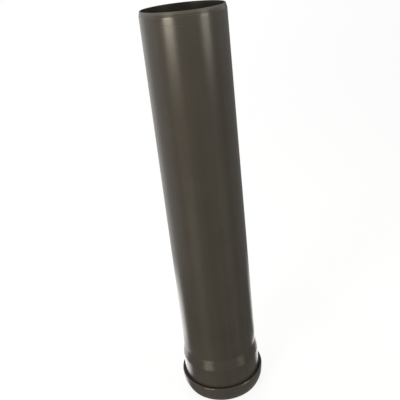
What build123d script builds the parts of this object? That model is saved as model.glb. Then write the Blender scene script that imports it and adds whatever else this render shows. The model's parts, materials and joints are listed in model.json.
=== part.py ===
"""A short length of push-fit drain pipe, standing on its socket.

The axis is Z. The socket's mouth lies in the plane z = 0 and the bevelled spigot points up.
Both pieces are turned shapes: each is one half section, drawn as radius and height, revolved
about the axis. All lengths are in millimetres.
"""

from build123d import *
import math
import os

# Barrel
pipe_diameter = 110.0
pipe_wall = 2.7
laying_length = 500.0         # from the spigot's end down to the top of the shoulder

# Spigot
bevel_length = 6.0
bevel_depth = 1.6             # how far the bevel comes in at the end
bevel_round = 2.0             # where the bevel meets the barrel
rim_round = 0.3

# Socket
socket_height = 72.0          # from the mouth up to the top of the shoulder
shoulder_height = 16.0        # the cone between the barrel and the sleeve
spigot_clearance = 0.3        # all round between a pipe's end and the sleeve
sleeve_wall = 2.6
shoulder_bend = 9.0           # bend where the cone meets the barrel and the sleeve

# Bead, the chamber for the seal
bead_reach = 4.8              # how far the bead stands out from the sleeve
bead_height = 25.5            # from the mouth up to the bead's flat top
bead_wall = 2.4
bead_upright = 3.5            # its upright side, from the flat top down to the flank
bead_top_round = 1.7

# Mouth
lip_clearance = 0.6           # between a pipe's end and the lip round the mouth
lip_thickness = 1.2
lip_height = 2.4
lip_round = 0.3               # outer edge of the mouth
lip_lead = 0.4                # chamfer that leads a pipe's end into the mouth

# Seal ring
ring_gap = 0.25               # between the ring and the walls of its chamber
ring_height = 9.8
ring_body_width = 2.3
ring_foot_width = 1.1
ring_lip_clearance = 0.2      # the lip is drawn pressed back, clear of a pipe's end
ring_lip_height = 5.8
ring_lip_tip = 1.2
ring_slot_height = 6.0        # depth of the slot behind the lip

# Sizes that follow from these
pipe_radius = pipe_diameter / 2
bore_radius = pipe_radius - pipe_wall
rim_radius = pipe_radius - bevel_depth
total_height = laying_length + socket_height
sleeve_top = socket_height - shoulder_height
sleeve_bore = pipe_radius + spigot_clearance
sleeve_radius = sleeve_bore + sleeve_wall
bead_radius = sleeve_radius + bead_reach
chamber_radius = bead_radius - bead_wall
bead_flank_height = bead_height - bead_upright
chamber_top = bead_height - bead_wall
lip_bore = pipe_radius + lip_clearance
mouth_radius = lip_bore + lip_thickness


def flank_radius(reach, height):
    """Radius of an arc that starts upright and comes in by reach over a given height."""
    return (reach ** 2 + height ** 2) / (2 * reach)


def make_pipe():
    """The barrel with its spigot and socket, as one turned solid."""
    with BuildPart() as pipe:
        with BuildSketch(Plane.XZ):
            with BuildLine():
                outside = FilletPolyline(
                    (bore_radius, total_height),
                    (rim_radius, total_height),
                    (pipe_radius, total_height - bevel_length),
                    (pipe_radius, socket_height),
                    (sleeve_radius, sleeve_top),
                    (sleeve_radius, bead_height),
                    (bead_radius, bead_height),
                    (bead_radius, bead_flank_height),
                    radius=(rim_round, bevel_round, shoulder_bend, shoulder_bend, 0, bead_top_round),
                )
                outer_flank = TangentArc(outside @ 1, (mouth_radius, 0), tangent=outside % 1)
                lip = Polyline(
                    outer_flank @ 1,
                    (lip_bore + lip_lead, 0),
                    (lip_bore, lip_lead),
                    (lip_bore, lip_height),
                )
                TangentArc((chamber_radius, bead_flank_height), lip @ 1, tangent=(0, -1))
                FilletPolyline(
                    (chamber_radius, bead_flank_height),
                    (chamber_radius, chamber_top),
                    (sleeve_bore, chamber_top),
                    (sleeve_bore, sleeve_top),
                    (bore_radius, socket_height),
                    (bore_radius, total_height),
                    radius=(0, 0, shoulder_bend, shoulder_bend),
                )
            make_face()
            mouth_edges = vertices().group_by(Axis.Y)[0]
            fillet(mouth_edges.sort_by(Axis.X)[-1], lip_round)
        revolve(axis=Axis.Z)
    return pipe.part


def make_seal_ring():
    """The rubber ring: a body that fills the chamber, and a lip that leans in and up."""
    body_radius = chamber_radius - ring_gap
    top = chamber_top - ring_gap
    foot = top - ring_height
    lip_radius = pipe_radius + ring_lip_clearance
    slot_foot = top - ring_slot_height
    inner_radius = body_radius - ring_body_width

    chamber_flank = flank_radius(chamber_radius - lip_bore, bead_flank_height - lip_height)
    ring_flank = chamber_flank - ring_gap
    flank_drop = bead_flank_height - foot
    foot_radius = body_radius - ring_flank + math.sqrt(ring_flank ** 2 - flank_drop ** 2)
    heel_radius = foot_radius - ring_foot_width

    with BuildPart() as ring:
        with BuildSketch(Plane.XZ):
            with BuildLine():
                inside = Polyline(
                    (foot_radius, foot),
                    (heel_radius, foot),
                    (lip_radius, foot + ring_lip_height),
                    (lip_radius, foot + ring_lip_height + ring_lip_tip),
                    (inner_radius, slot_foot),
                    (inner_radius, top),
                    (body_radius, top),
                    (body_radius, bead_flank_height),
                )
                TangentArc(inside @ 1, inside @ 0, tangent=inside % 1)
            make_face()
        revolve(axis=Axis.Z)
    return ring.part


os.makedirs("parts", exist_ok=True)
export_step(make_pipe(), "parts/pipe.step")
export_step(make_seal_ring(), "parts/seal_ring.step")
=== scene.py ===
# %% [markdown]
# # A plastic drain pipe
#
# This lesson dresses a short length of push-fit drain pipe. The real thing is two pieces. The pipe
# is one tube of satin grey-brown plastic: its top end, the spigot, is cut square and bevelled, and
# its lower end is blown out into a socket with a bead. Inside that bead sits a black rubber ring.
#
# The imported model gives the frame. Every size here either comes from it or is a named value, in
# metres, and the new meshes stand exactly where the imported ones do.

# %% Load the frame
import json
import math

import bmesh
import bpy
from mathutils import Matrix, Vector


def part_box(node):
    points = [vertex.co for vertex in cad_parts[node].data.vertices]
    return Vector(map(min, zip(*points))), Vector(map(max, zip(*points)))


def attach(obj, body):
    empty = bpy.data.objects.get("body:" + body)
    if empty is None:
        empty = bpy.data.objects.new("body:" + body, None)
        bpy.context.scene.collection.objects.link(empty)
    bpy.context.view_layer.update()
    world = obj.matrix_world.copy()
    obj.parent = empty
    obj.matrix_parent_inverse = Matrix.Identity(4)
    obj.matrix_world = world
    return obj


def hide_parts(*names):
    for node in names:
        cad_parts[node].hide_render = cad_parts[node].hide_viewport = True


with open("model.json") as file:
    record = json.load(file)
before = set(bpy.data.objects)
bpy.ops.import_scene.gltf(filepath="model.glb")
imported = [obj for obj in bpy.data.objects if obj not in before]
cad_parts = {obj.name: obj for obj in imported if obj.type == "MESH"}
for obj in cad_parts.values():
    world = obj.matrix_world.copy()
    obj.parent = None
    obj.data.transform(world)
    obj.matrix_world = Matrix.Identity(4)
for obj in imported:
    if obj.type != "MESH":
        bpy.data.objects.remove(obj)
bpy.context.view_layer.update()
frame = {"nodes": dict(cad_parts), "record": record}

print("pieces in the frame:", sorted(frame["nodes"]))

# %% [markdown]
# ## Sizes that the frame gives
#
# The record lists the places where another pipe fits: the spigot, the socket and the bore. Their
# radii could be typed in again, but then a change of size would have to be made twice. Reading
# them keeps both models the same.

# %% Read the radii and heights
MM = 0.001
mounts = {mount["name"]: mount for mount in frame["record"]["mounts"]}


def mount_radius(name):
    """Radius of a round mount in metres."""
    return mounts[name]["dims"]["r_mm"] * MM


pipe_radius = mount_radius("spigot")
bore_radius = mount_radius("flow_bore")
sleeve_bore = mount_radius("socket")
pipe_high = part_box("pipe")[1]
total_height = pipe_high.z
bead_radius = pipe_high.x

print("barrel radius %.4f, bore %.4f, height %.3f" % (pipe_radius, bore_radius, total_height))

# %% Name the sizes of the pipe's details
bevel_length = 6.0 * MM
bevel_depth = 1.6 * MM        # how far the bevel comes in at the spigot's end
bevel_round = 2.0 * MM        # where the bevel meets the barrel
rim_round = 0.3 * MM

socket_height = 72.0 * MM     # from the mouth up to the top of the shoulder
shoulder_height = 16.0 * MM   # the cone between the barrel and the sleeve
sleeve_wall = 2.6 * MM
shoulder_bend = 9.0 * MM      # bend where the cone meets the barrel and the sleeve

bead_height = 25.5 * MM       # from the mouth up to the bead's flat top
bead_reach = 4.8 * MM         # how far the bead stands out from the sleeve
bead_wall = 2.4 * MM
bead_upright = 3.5 * MM       # its upright side, from the flat top down to the flank
bead_top_round = 1.7 * MM
crease_round = 0.3 * MM       # where the flat top meets the sleeve

lip_clearance = 0.6 * MM      # between a pipe's end and the lip round the mouth
lip_thickness = 1.2 * MM
lip_height = 2.4 * MM
lip_round = 0.3 * MM
lip_lead = 0.4 * MM           # chamfer that leads a pipe's end into the mouth

# %% Work out the sizes that follow from them
rim_radius = pipe_radius - bevel_depth
sleeve_top = socket_height - shoulder_height
sleeve_radius = sleeve_bore + sleeve_wall
chamber_radius = bead_radius - bead_wall
bead_flank_height = bead_height - bead_upright
chamber_top = bead_height - bead_wall
lip_bore = pipe_radius + lip_clearance
mouth_radius = lip_bore + lip_thickness

print("sleeve radius %.4f, chamber radius %.4f" % (sleeve_radius, chamber_radius))

# %% [markdown]
# ## Turned shapes
#
# Both pieces are round about one axis, so each is fully described by its half section. In Blender
# a turned shape can be made from a cylinder that is cut and scaled, or with a Screw modifier. Here
# the section is drawn point by point in the plane of X and Z, as with a pencil, and the Spin
# operator turns it once round the Z axis. That way the drawing stays readable as a list of radii
# and heights, and the mesh has clean rings of four-sided faces.

# %% Draw an outline and spin it
turn_steps = 256              # faces round the axis
merge_distance = 0.001 * MM


def draw_section(name, points):
    """A closed outline in the XZ plane, drawn by extruding one vertex from point to point."""
    bpy.ops.object.select_all(action="DESELECT")
    first_radius, first_height = points[0]
    bpy.ops.mesh.primitive_plane_add(size=MM, location=(first_radius, 0, first_height))
    section = bpy.context.object
    section.name = name
    bpy.ops.object.transform_apply(location=True, rotation=False, scale=False)
    bpy.ops.object.mode_set(mode="EDIT")
    bpy.ops.mesh.select_mode(type="VERT")
    bpy.ops.mesh.select_all(action="SELECT")
    bpy.ops.mesh.merge(type="CENTER")
    for (radius, height), (next_radius, next_height) in zip(points, points[1:] + points[:1]):
        step = (next_radius - radius, 0, next_height - height)
        bpy.ops.mesh.extrude_region_move(TRANSFORM_OT_translate={"value": step})
    bpy.ops.mesh.select_all(action="SELECT")
    bpy.ops.mesh.remove_doubles(threshold=merge_distance)
    bpy.ops.object.mode_set(mode="OBJECT")
    return section


def spin_section(section):
    """Turns the outline once round the Z axis, and closes the seam."""
    bpy.ops.object.mode_set(mode="EDIT")
    bpy.ops.mesh.select_all(action="SELECT")
    bpy.ops.mesh.spin(steps=turn_steps, angle=math.tau, center=(0, 0, 0), axis=(0, 0, 1))
    bpy.ops.mesh.select_all(action="SELECT")
    bpy.ops.mesh.remove_doubles(threshold=merge_distance)
    bpy.ops.mesh.normals_make_consistent(inside=False)
    bpy.ops.object.mode_set(mode="OBJECT")


# %% Round one ring of edges
def on_ring(vertex, radius, height):
    """True where a vertex lies on the ring of that radius and height."""
    off_radius = abs(math.hypot(vertex.co.x, vertex.co.y) - radius)
    return off_radius < merge_distance and abs(vertex.co.z - height) < merge_distance


def round_ring(piece, radius, height, fillet, turn, segments):
    """Rounds the edges of one ring to a fillet; turn is the angle that the section bends there."""
    bpy.ops.object.mode_set(mode="EDIT")
    bpy.ops.mesh.select_mode(type="EDGE")
    bpy.ops.mesh.select_all(action="DESELECT")
    mesh = bmesh.from_edit_mesh(piece.data)
    for edge in mesh.edges:
        if all(on_ring(vertex, radius, height) for vertex in edge.verts):
            edge.select_set(True)
    bmesh.update_edit_mesh(piece.data)
    offset = fillet * math.tan(turn / 2)
    bpy.ops.mesh.bevel(offset=offset, offset_type="OFFSET", segments=segments, affect="EDGES")
    bpy.ops.object.mode_set(mode="OBJECT")


# %% Work out the curled flank of the bead
def flank_arc(start_radius, start_height, reach, drop, steps):
    """Points down an arc that starts upright and comes in by reach over a drop."""
    arc_radius = (reach ** 2 + drop ** 2) / (2 * reach)
    whole = math.asin(drop / arc_radius)
    arc = []
    for step in range(1, steps + 1):
        turn = whole * step / steps
        radius = start_radius - arc_radius * (1 - math.cos(turn))
        arc.append((radius, start_height - arc_radius * math.sin(turn)))
    return arc


# %% Smooth and measure a finished piece
def smooth_turned(piece, sharp_angle):
    """Smooth shading with crisp edges; wide faces keep their own normals."""
    bpy.ops.object.select_all(action="DESELECT")
    piece.select_set(True)
    bpy.context.view_layer.objects.active = piece
    bpy.ops.object.shade_smooth_by_angle(angle=sharp_angle)
    even = piece.modifiers.new("even_normals", "WEIGHTED_NORMAL")
    even.keep_sharp = True
    bpy.ops.object.modifier_apply(modifier=even.name)


def report_piece(piece):
    """Prints the size of a finished mesh, and whether it is closed."""
    mesh = bmesh.new()
    mesh.from_mesh(piece.data)
    closed = all(edge.is_manifold for edge in mesh.edges)
    volume = mesh.calc_volume(signed=True) / MM ** 3
    print("%s: %d faces, closed %s, volume %.0f mm3" % (piece.name, len(mesh.faces), closed, volume))
    mesh.free()


# %% [markdown]
# ## The pipe
#
# The real pipe is extruded, and one end is heated and blown into a mould to make the socket, so
# the wall follows the same line inside and outside. The section runs from the rim down the
# outside: bevel, barrel, shoulder, sleeve, the flat top of the bead, and the flank that curls in
# to the mouth. Then it climbs back inside through the chamber for the ring. Corners are drawn
# sharp here, because a sharp corner has an exact place, and are rounded in the next step.

# %% Draw and spin the pipe
flank_steps = 14

outer_flank = flank_arc(
    bead_radius, bead_flank_height, bead_radius - mouth_radius, bead_flank_height, flank_steps)
inner_flank = flank_arc(
    chamber_radius, bead_flank_height, chamber_radius - lip_bore, bead_flank_height - lip_height,
    flank_steps)

pipe_section = [
    (bore_radius, total_height),
    (rim_radius, total_height),
    (pipe_radius, total_height - bevel_length),
    (pipe_radius, socket_height),
    (sleeve_radius, sleeve_top),
    (sleeve_radius, bead_height),
    (bead_radius, bead_height),
    (bead_radius, bead_flank_height),
    *outer_flank,
    (lip_bore + lip_lead, 0),
    (lip_bore, lip_lead),
    *reversed(inner_flank),
    (chamber_radius, bead_flank_height),
    (chamber_radius, chamber_top),
    (sleeve_bore, chamber_top),
    (sleeve_bore, sleeve_top),
    (bore_radius, socket_height),
]
drain_pipe = draw_section("drain_pipe", pipe_section)
spin_section(drain_pipe)

# %% [markdown]
# ## Rounding the pipe's edges
#
# No edge of a plastic pipe is knife sharp, and a small round is what catches the light along the
# rim and under the bead. A Bevel modifier would round every edge alike. Here each ring of edges is
# picked out by its radius and height and bevelled with its own radius, as a fillet on a drawing.

# %% Round the pipe's rings
bevel_slope = math.atan2(bevel_depth, bevel_length)
outer_slope = math.atan2(sleeve_radius - pipe_radius, shoulder_height)
inner_slope = math.atan2(sleeve_bore - bore_radius, shoulder_height)
square = math.pi / 2
flank_bend = math.atan2(outer_flank[-2][0] - mouth_radius, outer_flank[-2][1])

# Radius and height of the ring of edges, radius of the round, angle of the bend, faces across it
pipe_rounds = [
    (rim_radius, total_height, rim_round, square - bevel_slope, 4),
    (bore_radius, total_height, rim_round / 2, square, 3),
    (pipe_radius, total_height - bevel_length, bevel_round, bevel_slope, 4),
    (pipe_radius, socket_height, shoulder_bend, outer_slope, 5),
    (sleeve_radius, sleeve_top, shoulder_bend, outer_slope, 5),
    (sleeve_radius, bead_height, crease_round, square, 4),
    (bead_radius, bead_height, bead_top_round, square, 10),
    (mouth_radius, 0, lip_round, square - flank_bend, 4),
    (sleeve_bore, sleeve_top, shoulder_bend, inner_slope, 4),
    (bore_radius, socket_height, shoulder_bend, inner_slope, 4),
]
for edge_radius, edge_height, fillet, turn, segments in pipe_rounds:
    round_ring(drain_pipe, edge_radius, edge_height, fillet, turn, segments)

pipe_sharp_angle = math.radians(40)
smooth_turned(drain_pipe, pipe_sharp_angle)
report_piece(drain_pipe)

# %% [markdown]
# ## The seal ring
#
# The ring is moulded rubber. Its body fills the chamber in the bead, and a thin lip leans inwards
# and up, so that it closes harder the more a pipe's end is pushed past it. It hides inside the
# socket, but anybody who looks into the mouth sees it. It is turned like the pipe, with softer
# edges, because rubber comes out of its mould with rounded ones.

# %% Name the ring's sizes
ring_gap = 0.25 * MM          # between the ring and the walls of its chamber
ring_height = 9.8 * MM
ring_body_width = 2.3 * MM
ring_foot_width = 1.1 * MM
ring_lip_clearance = 0.2 * MM   # the lip is drawn pressed back, clear of a pipe's end
ring_lip_height = 5.8 * MM
ring_lip_tip = 1.2 * MM
ring_slot_height = 6.0 * MM   # depth of the slot behind the lip
ring_edge_round = 0.25 * MM

body_radius = chamber_radius - ring_gap
ring_top = chamber_top - ring_gap
ring_foot = ring_top - ring_height
lip_radius = pipe_radius + ring_lip_clearance
lip_low = ring_foot + ring_lip_height
lip_high = lip_low + ring_lip_tip
slot_foot = ring_top - ring_slot_height
ring_inner_radius = body_radius - ring_body_width

print("ring from height %.4f to %.4f, lip radius %.4f" % (ring_foot, ring_top, lip_radius))

# %% Fit the ring's outside to the chamber's flank
chamber_reach = chamber_radius - lip_bore
chamber_drop = bead_flank_height - lip_height
chamber_arc = (chamber_reach ** 2 + chamber_drop ** 2) / (2 * chamber_reach)
ring_arc = chamber_arc - ring_gap
ring_drop = bead_flank_height - ring_foot
ring_reach = ring_arc - math.sqrt(ring_arc ** 2 - ring_drop ** 2)
ring_flank = flank_arc(body_radius, bead_flank_height, ring_reach, ring_drop, flank_steps)
foot_radius = body_radius - ring_reach
heel_radius = foot_radius - ring_foot_width

print("radius of the ring's foot %.4f outside, %.4f inside" % (foot_radius, heel_radius))

# %% Draw and spin the seal ring
ring_section = [
    (heel_radius, ring_foot),
    (lip_radius, lip_low),
    (lip_radius, lip_high),
    (ring_inner_radius, slot_foot),
    (ring_inner_radius, ring_top),
    (body_radius, ring_top),
    (body_radius, bead_flank_height),
    *ring_flank,
]
seal_ring = draw_section("seal_ring_rubber", ring_section)
spin_section(seal_ring)

# %% Round the ring's edges
lip_slope = math.atan2(heel_radius - lip_radius, ring_lip_height)
slot_slope = math.atan2(ring_inner_radius - lip_radius, lip_high - slot_foot)

# Radius and height of the ring of edges, radius of the round, angle of the bend, faces across it
ring_rounds = [
    (heel_radius, ring_foot, ring_edge_round, square - lip_slope, 3),
    (lip_radius, lip_low, 2 * ring_edge_round, lip_slope, 3),
    (lip_radius, lip_high, ring_edge_round, math.pi - slot_slope, 4),
    (ring_inner_radius, ring_top, ring_edge_round, square, 3),
    (body_radius, ring_top, ring_edge_round, square, 3),
    (foot_radius, ring_foot, ring_edge_round, square, 3),
]
for edge_radius, edge_height, fillet, turn, segments in ring_rounds:
    round_ring(seal_ring, edge_radius, edge_height, fillet, turn, segments)

ring_sharp_angle = math.radians(50)
smooth_turned(seal_ring, ring_sharp_angle)
report_piece(seal_ring)

# %% [markdown]
# ## Materials
#
# A material is a small chain of nodes. These helpers add a node, link it and set its values, so
# that each material below reads as a list of what the surface is made of. They fill the node tree
# that is called tree at that moment: first the plastic's, later the rubber's, the room's and the
# floor's.


# %% Start a material, and add a node to it
def new_material(name):
    """A new node material, with its node tree and its Principled shader."""
    material = bpy.data.materials.new(name)
    material.use_nodes = True
    tree = material.node_tree
    shader = tree.nodes["Principled BSDF"]
    return material, tree, shader


def add_node(tree, kind, links=None, **values):
    """Adds a node; links maps an input to a socket or a value, and values are the node's own."""
    node = tree.nodes.new(kind)
    for key, value in values.items():
        setattr(node, key, value)
    for key, value in (links or {}).items():
        if isinstance(value, bpy.types.NodeSocket):
            tree.links.new(value, node.inputs[key])
        else:
            node.inputs[key].default_value = value
    return node


# %% Reckon with values in nodes
def ramp(value, low, high, low_result=0.0, high_result=1.0):
    """A soft step between two values of an input."""
    node = add_node(tree, "ShaderNodeMapRange", {
        "Value": value, "From Min": low, "From Max": high, "To Min": low_result, "To Max": high_result},
        interpolation_type="SMOOTHSTEP")
    return node.outputs[0]


def combine(operation, first, second):
    """One step of arithmetic with two values."""
    return add_node(tree, "ShaderNodeMath", {0: first, 1: second}, operation=operation).outputs[0]


def product(first, *others):
    """Several values multiplied."""
    for other in others:
        first = combine("MULTIPLY", first, other)
    return first


def total(first, *others):
    """Several values added up."""
    for other in others:
        first = combine("ADD", first, other)
    return first


# %% Mix two values or colours, and draw a cloudy pattern
def mix_value(share, first, second):
    """A value between two others."""
    sockets = {"Factor": share, "A": first, "B": second}
    return add_node(tree, "ShaderNodeMix", sockets, data_type="FLOAT").outputs["Result"]


def mix_colour(share, first, second):
    """A colour between two others."""
    sockets = {"Factor": share, "A": first, "B": second}
    return add_node(tree, "ShaderNodeMix", sockets, data_type="RGBA").outputs["Result"]


def noise(place, scale, detail=2, roughness=0.5, distortion=0.0):
    """A cloudy pattern; the larger its scale, the finer it is."""
    sockets = {"Vector": place, "Scale": scale, "Detail": detail, "Roughness": roughness}
    sockets["Distortion"] = distortion
    return add_node(tree, "ShaderNodeTexNoise", sockets).outputs["Fac"]


# %% [markdown]
# ## The pipe's plastic
#
# Extruded plastic has a satin skin with very fine lines along the pipe, where the tube slid
# through its die, and the colour clouds a little from place to place. The spigot's bevel is cut on
# a lathe, so it is paler and duller than the skin. Handling has left a shinier band below the
# bevel, a few scuffs, part of a fine mark from an earlier fitting and a shinier round on the bead.
# Pale spots along the rim and the bevel's corner are partly worn nicks and partly painted
# highlights, where these edges catch the light. The dark line in the crease on top of the bead is
# painted shade, and so is the darker colour of the bore, which is also duller.
#
# This could be several materials, but it is one piece of plastic, so it is one material with
# masks. A mask is a value from 0 to 1, worked out from the height of a point and its distance
# from the axis. Masks mix the colours and change the roughness. All patterns read Object
# coordinates: noise that is stretched along Z draws the lines, with no seam round the pipe.

# %% Measure where a point of the pipe lies
plastic, tree, shader = new_material("satin_grey_brown_plastic")
place = add_node(tree, "ShaderNodeTexCoord").outputs["Object"]
level = add_node(tree, "ShaderNodeSeparateXYZ", {0: place}).outputs["Z"]
flattened = add_node(tree, "ShaderNodeVectorMath", {0: place, 1: (1, 1, 0)}, operation="MULTIPLY").outputs[0]
away = add_node(tree, "ShaderNodeVectorMath", {0: flattened}, operation="LENGTH").outputs["Value"]

# %% Draw the skin's lines, clouds and scuffs
line_scale, band_scale, cloud_scale, scuff_scale = 300, 90, 22, 75
drawn_out = (1, 1, 0.012)     # stretches a pattern along the pipe
scuff_edge = (0.66, 0.78)     # the noise's values between which a scuff begins

stretched = add_node(tree, "ShaderNodeMapping", {"Vector": place, "Scale": drawn_out}).outputs[0]
lines = noise(stretched, line_scale)
bands = noise(stretched, band_scale)
clouds = noise(place, cloud_scale, detail=3)
scuff_noise = noise(place, scuff_scale, detail=6, roughness=0.7, distortion=0.6)
scuffs = ramp(scuff_noise, *scuff_edge)

# %% Find the cut bevel, the bore and the rubbed band
cut_height = ramp(level, total_height - 0.85 * bevel_length, total_height)
cut_side = ramp(away, bore_radius + 0.1 * MM, bore_radius + 0.4 * MM)
bore = combine("SUBTRACT", 1, cut_side)
cut = product(cut_height, cut_side)
rubbed = ramp(level, total_height - 2 * bevel_length, total_height - bevel_length)


# %% Find the painted highlights and wear on the edges, and the mark of a fitting
def line_at(height, width):
    """A soft line round the pipe at a height."""
    off_line = combine("ABSOLUTE", combine("SUBTRACT", level, height), 0)
    return ramp(off_line, 0.3 * width, width, 1, 0)


corner_width, glint_and_wear_scale, glint_and_wear_edge = 0.5 * MM, 140, (0.48, 0.64)
mark_drop, mark_width, mark_edge = 16.0 * MM, 0.4 * MM, (0.33, 0.42)

# Painted highlight along the rim and the bevel's corner, where the edges catch the light, broken into spots
# like worn nicks.
rim_line = product(line_at(total_height, 2 * rim_round), cut_side)
corner_line = line_at(total_height - bevel_length, corner_width)
glint_and_wear_noise = noise(place, glint_and_wear_scale, detail=4)
edge_glint_and_wear = product(total(rim_line, corner_line), ramp(glint_and_wear_noise, *glint_and_wear_edge))
mark = product(line_at(total_height - mark_drop, mark_width), ramp(clouds, *mark_edge, 1, 0))

# %% Find the bead's rubbed shoulder, and the painted shade in the crease inside it
round_foot = bead_height - 1.2 * bead_top_round
on_round = ramp(level, round_foot, round_foot + 0.4 * bead_top_round)
near_edge = ramp(away, bead_radius - 1.4 * bead_top_round, bead_radius - bead_top_round)
bead_rub = product(on_round, near_edge)

# Painted shade: a dark line in the crease where the bead's flat top meets the sleeve, fading outwards over
# the top.
on_sleeve = ramp(level, bead_height + 0.1 * MM, bead_height + 0.5 * MM, 1, 0)
above_flank = ramp(level, bead_height - 0.6 * bead_top_round, bead_height)
on_bead = ramp(away, sleeve_radius + 0.1 * bead_reach, bead_radius - 0.1 * bead_reach, 1, 0)
outside_bore = ramp(away, sleeve_bore + 0.4 * sleeve_wall, sleeve_bore + 0.8 * sleeve_wall)
crease_shade = product(on_sleeve, on_bead, above_flank, outside_bore)

# %% Colour the plastic
plastic_dark = (0.048, 0.0415, 0.0338, 1)
plastic_light = (0.056, 0.0487, 0.0400, 1)
colour_edge = (0.35, 0.65)
variation = total(product(bands, 0.5), product(clouds, 0.5))
skin = mix_colour(ramp(variation, *colour_edge), plastic_dark, plastic_light)

# Where a trace, a painted highlight or a painted shade lies, how much it covers, and its colour
marks_and_painted_light = [
    (scuffs, 0.5, (0.083, 0.076, 0.065, 1)),
    (cut, 1, (0.085, 0.078, 0.066, 1)),
    # partly worn nicks, partly a painted highlight on the edges
    (edge_glint_and_wear, 0.35, (0.13, 0.12, 0.10, 1)),
    # painted shade: the bore's colour is darkened because the inside of the pipe lies in shade
    (bore, 0.9, (0.022, 0.021, 0.018, 1)),
    # painted shade in the bead's crease
    (crease_shade, 0.9, (0.009, 0.009, 0.008, 1)),
]
for mask, cover, colour in marks_and_painted_light:
    skin = mix_colour(product(mask, cover), skin, colour)
tree.links.new(skin, shader.inputs["Base Color"])

# %% Make the plastic rougher or smoother
skin_smooth, skin_rough, line_edge = 0.25, 0.265, (0.3, 0.7)
roughness = ramp(lines, *line_edge, skin_smooth, skin_rough)

# Where a trace lies, and how much rougher it is
changes = [(rubbed, -0.06), (bead_rub, -0.15), (cut, 0.20), (bore, 0.15), (scuffs, 0.10), (mark, 0.09)]
for mask, change in changes:
    roughness = total(roughness, product(mask, change))
tree.links.new(roughness, shader.inputs["Roughness"])

plastic_ior = 1.49
# Less mirroring in the bead's crease and in the bore darkens them further, as painted shade.
unshaded_mirroring, shaded_mirroring, bore_shade_loss = 0.5, 0.1, 0.2
mirroring = combine("SUBTRACT", ramp(crease_shade, 0, 1, unshaded_mirroring, shaded_mirroring), product(bore, bore_shade_loss))
tree.links.new(mirroring, shader.inputs["Specular IOR Level"])
shader.inputs["IOR"].default_value = plastic_ior

# %% Give the lines and the mark their relief
relief_depth = 0.1 * MM
line_strength, mark_strength = 0.004, 0.25
line_relief = add_node(tree, "ShaderNodeBump", {
    "Height": lines, "Strength": line_strength, "Distance": relief_depth}).outputs[0]
mark_relief = add_node(tree, "ShaderNodeBump", {
    "Height": mark, "Strength": mark_strength, "Distance": relief_depth, "Normal": line_relief}, invert=True)
tree.links.new(mark_relief.outputs[0], shader.inputs["Normal"])

drain_pipe.data.materials.append(plastic)
print("%s has %d nodes" % (plastic.name, len(tree.nodes)))

# %% [markdown]
# ## The ring's rubber
#
# The rubber is nearly black and duller than the pipe. Its mould has a finely blasted surface, so
# the rubber has a fine grain. The grain could be modelled, but it is finer than any face here, so
# one noise drives both its roughness and its relief.

# %% Make the rubber
rubber, tree, shader = new_material("black_seal_rubber")
place = add_node(tree, "ShaderNodeTexCoord").outputs["Object"]
grain_scale, grain_depth, grain_strength = 1500, 0.05 * MM, 0.2
rubber_smooth, rubber_rough = 0.45, 0.7
rubber_black = (0.018, 0.018, 0.018, 1)

grain = noise(place, grain_scale)
roughness = add_node(tree, "ShaderNodeMapRange", {
    "Value": grain, "To Min": rubber_smooth, "To Max": rubber_rough})
relief = add_node(tree, "ShaderNodeBump", {
    "Height": grain, "Strength": grain_strength, "Distance": grain_depth})
tree.links.new(roughness.outputs[0], shader.inputs["Roughness"])
tree.links.new(relief.outputs[0], shader.inputs["Normal"])
shader.inputs["Base Color"].default_value = rubber_black

seal_ring.data.materials.append(rubber)
print("%s has %d nodes" % (rubber.name, len(tree.nodes)))

# %% [markdown]
# ## Joining the pieces to the frame
#
# Each new mesh rides on the one body and stands for its imported node, which is hidden.

# %% Place the pieces
for piece, node, finish in ((drain_pipe, "pipe", "pipe_plastic"), (seal_ring, "seal_ring", "seal_rubber")):
    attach(piece, "root")
    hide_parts(node)
    print("%s stands for %s" % (piece.name, node))

# %% [markdown]
# ## The room
#
# The pipe stands on a plain pale floor in front of white, and is still dark with bright edges. So
# what the camera sees and what lights the pipe are kept apart: the Light Path node tells camera
# rays from all others, and makes the world and the floor white for the camera alone.
#
# A satin surface mirrors its surroundings, so most of what shows on the pipe is the studio. The
# room is dim in front and above, paler at the sides and bright behind, which draws both edges.
# White panels would do the same. A world that is painted by direction does it with no panel's end
# showing in the plastic.

# %% Describe the room round the pipe
rear_turn = math.radians(-9)
rear_edge = (0.59, 0.69)      # how far back a direction points where the bright rear begins
side_edge = (-0.45, 0.35)     # the same for the paler sides
side_left, side_right = 0.44, 0.10
left_to_right = (-0.6, 0.6)   # how far across it points where left turns to right


def room_shares(direction):
    """The bright rear and the paler sides in a direction from the pipe, and the direction's parts."""
    turned = add_node(tree, "ShaderNodeMapping", {"Vector": direction, "Rotation": (0, 0, rear_turn)})
    parts = add_node(tree, "ShaderNodeSeparateXYZ", {0: turned.outputs[0]})
    across, back, height = parts.outputs["X"], parts.outputs["Y"], parts.outputs["Z"]
    rear = ramp(back, *rear_edge)
    sides = product(ramp(back, *side_edge), ramp(across, *left_to_right, side_left, side_right))
    return rear, sides, across, back, height


# %% Light the room
rear_level, rear_right_share = 1.0, 0.2
dim_level, top_level, top_height = 0.78, 0.32, 0.6
front_right_share = 0.8

world = bpy.data.worlds.new("white_room")
bpy.context.scene.world = world
world.use_nodes = True
tree = world.node_tree
direction = add_node(tree, "ShaderNodeTexCoord").outputs["Generated"]
rear, sides, across, back, height = room_shares(direction)
front_level = ramp(height, 0, top_height, dim_level, top_level)
front = product(front_level, ramp(across, 0, 1, 1, front_right_share))
rear_light = ramp(across, *left_to_right, rear_level, rear_right_share * rear_level)
room_light = mix_value(rear, total(front, sides), rear_light)

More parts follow.
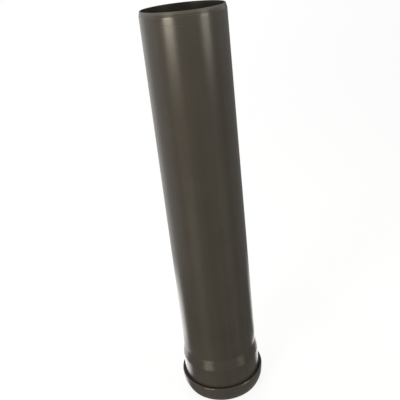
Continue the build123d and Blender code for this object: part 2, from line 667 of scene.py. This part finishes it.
is_camera = add_node(tree, "ShaderNodeLightPath").outputs["Is Camera Ray"]
background = tree.nodes["Background"]
background.inputs["Color"].default_value = (1, 1, 1, 1)
tree.links.new(mix_value(is_camera, room_light, 1.0), background.inputs["Strength"])
print("%s has %d nodes" % (world.name, len(tree.nodes)))

# %% [markdown]
# ## The floor
#
# The lower half of the pipe mirrors the floor. For glossy rays the floor glows behind the pipe and
# close to its foot, which draws the pale wedges beside the socket. It is polished in a ring round
# the pipe, in which the shoulder sees the front lights as two faint patches. A faint glow under
# the mouth lights the inside of the socket, and the floor is clear to a camera below it, so that
# the seal ring can be looked at.
#
# An image could hold these glows. Here they are worked out from how far a point of the floor lies
# from the axis, and in which direction, so that each one is a value with a name.

# %% Lay the floor
floor_width = 12.0
bpy.ops.object.select_all(action="DESELECT")
bpy.ops.mesh.primitive_plane_add(size=floor_width, location=(0, 0, 0))
floor = bpy.context.object
floor.name = "floor"

# %% Measure where a point of the floor lies
floor_paint, tree, shader = new_material("pale_floor")
place = add_node(tree, "ShaderNodeTexCoord").outputs["Object"]
away = add_node(tree, "ShaderNodeVectorMath", {0: place}, operation="LENGTH").outputs["Value"]
from_front = add_node(tree, "ShaderNodeVectorMath", {0: place, 1: (0, pipe_radius, 0)}, operation="ADD")
outward = add_node(tree, "ShaderNodeVectorMath", {0: from_front.outputs[0]}, operation="NORMALIZE")
rear, sides, across, back, height = room_shares(outward.outputs[0])
side_share = ramp(across, *left_to_right)


def by_side(left, right):
    """A value that differs between the pipe's left and its right."""
    return ramp(side_share, 0, 1, left, right)


# %% Let the floor glow behind the pipe, near and far; distances are from the axis, in metres
near_rise, near_fade = (0.125, 0.165), (0.24, 0.46)
near_strength, near_inner_share, near_right_share = 1.65, 0.40, 0.72
far_rise = (1.5, 4.5)
far_low, far_high, far_right_share = 0.37, 0.50, 0.06

near_ring = product(ramp(away, *near_fade, near_strength, 0), ramp(away, *near_rise, near_inner_share, 1))
near_level = product(near_ring, by_side(1, near_right_share))
far_level = product(ramp(away, *far_rise, far_low, far_high), by_side(1, far_right_share))
rear_glow = product(rear, total(near_level, far_level))

# %% Let it glow close to the pipe's foot
foot_strength, foot_fade = 1.9, 0.018
foot_rise = (0.068, 0.088)

# These have one value on the left and one on the right
foot_reach, foot_inner_share = (0.100, 0.122), (0.1, 0.8)
foot_back_low, foot_back_high = (0.48, 0.42), (0.62, 0.54)

foot_end = by_side(*foot_reach)
foot_fading = ramp(away, foot_end, total(foot_end, foot_fade), foot_strength, 0)
foot_rising = ramp(away, *foot_rise, by_side(*foot_inner_share), 1)
foot_side = ramp(back, by_side(*foot_back_low), by_side(*foot_back_high))
foot_glow = product(foot_fading, foot_rising, foot_side)

# %% Let it glow at the sides, in front and under the mouth
side_rise = (0.25, 0.6)
front_step, front_edge = (0.085, 0.105), (0.2, 0.6)
front_near, front_far = 0.16, 0.05
mouth_strength = 0.4

side_glow = product(sides, ramp(away, *side_rise))
front_glow = product(ramp(away, *front_step, front_near, front_far), ramp(back, *front_edge, 1, 0))
mouth_glow = ramp(away, 0.9 * pipe_radius, pipe_radius, mouth_strength, 0)

# %% Paint the floor
floor_grey = (0.18, 0.18, 0.18, 1)
seen_strength = 0.84          # brings the lit grey up to white for the camera
polish_rise, polish_fade = (0.14, 0.19), (0.24, 0.31)
floor_rough, floor_polished, floor_ior = 0.45, 0.14, 1.8

path = add_node(tree, "ShaderNodeLightPath")
is_camera, is_glossy = path.outputs["Is Camera Ray"], path.outputs["Is Glossy Ray"]
mirrored = product(total(rear_glow, foot_glow, side_glow, front_glow), is_glossy)
under_mouth = product(mouth_glow, combine("SUBTRACT", 1, is_camera))
seen = product(is_camera, seen_strength)
polish = product(ramp(away, *polish_rise), ramp(away, *polish_fade, 1, 0))

tree.links.new(total(mirrored, under_mouth, seen), shader.inputs["Emission Strength"])
tree.links.new(ramp(polish, 0, 1, floor_rough, floor_polished), shader.inputs["Roughness"])
shader.inputs["Emission Color"].default_value = (1, 1, 1, 1)
shader.inputs["Base Color"].default_value = floor_grey
shader.inputs["IOR"].default_value = floor_ior

# %% Let the camera look up through the floor from below
underside = add_node(tree, "ShaderNodeNewGeometry").outputs["Backfacing"]
clear = add_node(tree, "ShaderNodeBsdfTransparent").outputs[0]
seen_below = product(underside, is_camera)
open_below = add_node(tree, "ShaderNodeMixShader", {0: seen_below, 1: shader.outputs[0], 2: clear})
tree.links.new(open_below.outputs[0], tree.nodes["Material Output"].inputs["Surface"])

floor.data.materials.append(floor_paint)
print("%s has %d nodes" % (floor_paint.name, len(tree.nodes)))

# %% [markdown]
# ## The soft lights
#
# Soft lights in front, on the left and on the right, draw the two upright highlights. Each has a
# weaker one above it, a small faint one for the bevel, and a high one that picks out the round of
# the bead. A photographer would use tall soft boxes. Here each is an area light, because its width
# and height are then exact, and the camera doesn't see it.


# %% Set up one soft light
def soft_light(name, colour, azimuth, distance, low, width, height, radiance):
    """An upright soft light that faces the pipe; azimuth 0 is towards the camera."""
    turn = math.radians(azimuth)
    data = bpy.data.lights.new(name, "AREA")
    data.shape = "RECTANGLE"
    data.size = width
    data.size_y = height
    data.energy = radiance * math.pi * width * height
    data.color = colour
    light = bpy.data.objects.new(name, data)
    bpy.context.scene.collection.objects.link(light)
    light.location = (distance * math.sin(turn), -distance * math.cos(turn), low + height / 2)
    towards = Vector((-light.location.x, -light.location.y, 0))
    light.rotation_euler = towards.to_track_quat("-Z", "Y").to_euler()
    light.visible_camera = False
    print("%s: %.1f watts" % (name, data.energy))


# %% Set up all soft lights
left_warm = (1.0, 0.91, 0.73)
right_warm = (1.0, 0.96, 0.82)

# Name, colour, azimuth, distance, height of its lower edge, width, height, radiance
soft_lights = [
    ("left_soft_light", left_warm, -40, 1.5, 0.395, 0.63, 0.255, 18.5),
    ("left_upper_light", left_warm, -40, 1.5, 0.66, 0.63, 0.30, 3.6),
    ("left_rim_light", left_warm, -40, 0.9, 0.80, 0.36, 0.25, 2),
    ("left_high_light", left_warm, -40, 0.9, 1.10, 0.16, 0.80, 9),
    ("right_soft_light", right_warm, 54, 1.5, 0.31, 0.54, 0.31, 5.8),
    ("right_upper_light", right_warm, 54, 1.5, 0.63, 0.54, 0.30, 4),
    ("right_rim_light", right_warm, 56, 0.9, 0.80, 0.32, 0.25, 2),
    ("right_high_light", right_warm, 85, 0.9, 1.10, 0.16, 0.80, 16),
]
for light_values in soft_lights:
    soft_light(*light_values)

# %% [markdown]
# ## The camera
#
# The camera looks down on the pipe and is rolled a little, so the pipe leans in the picture though
# it stands upright. Its place is given by how far it stands from the axis and how high above the
# rim; its lens by how many pixels wide one metre at one metre's distance is.

# %% Place the camera
picture_size = 400
focal_pixels = 579.03
centre_row = 188.0
camera_distance = 0.74082
camera_rise = 0.0717
pitch, roll, yaw = 0.4021, 0.1136, -0.0049

camera_data = bpy.data.cameras.new("camera")
camera = bpy.data.objects.new("camera", camera_data)
bpy.context.scene.collection.objects.link(camera)
camera_data.sensor_width = 36.0
camera_data.lens = focal_pixels / picture_size * camera_data.sensor_width
camera_data.shift_y = (centre_row - picture_size / 2) / picture_size

yawed = Matrix.Rotation(-yaw, 4, "Z")
pitched = yawed @ Matrix.Rotation(square - pitch, 4, "X")
rolled = pitched @ Matrix.Rotation(-roll, 4, "Z")
camera.matrix_world = Matrix.Translation((0, -camera_distance, total_height + camera_rise)) @ rolled
bpy.context.scene.camera = camera
bpy.context.scene.view_settings.view_transform = "Standard"
print("lens %.1f mm" % camera_data.lens)
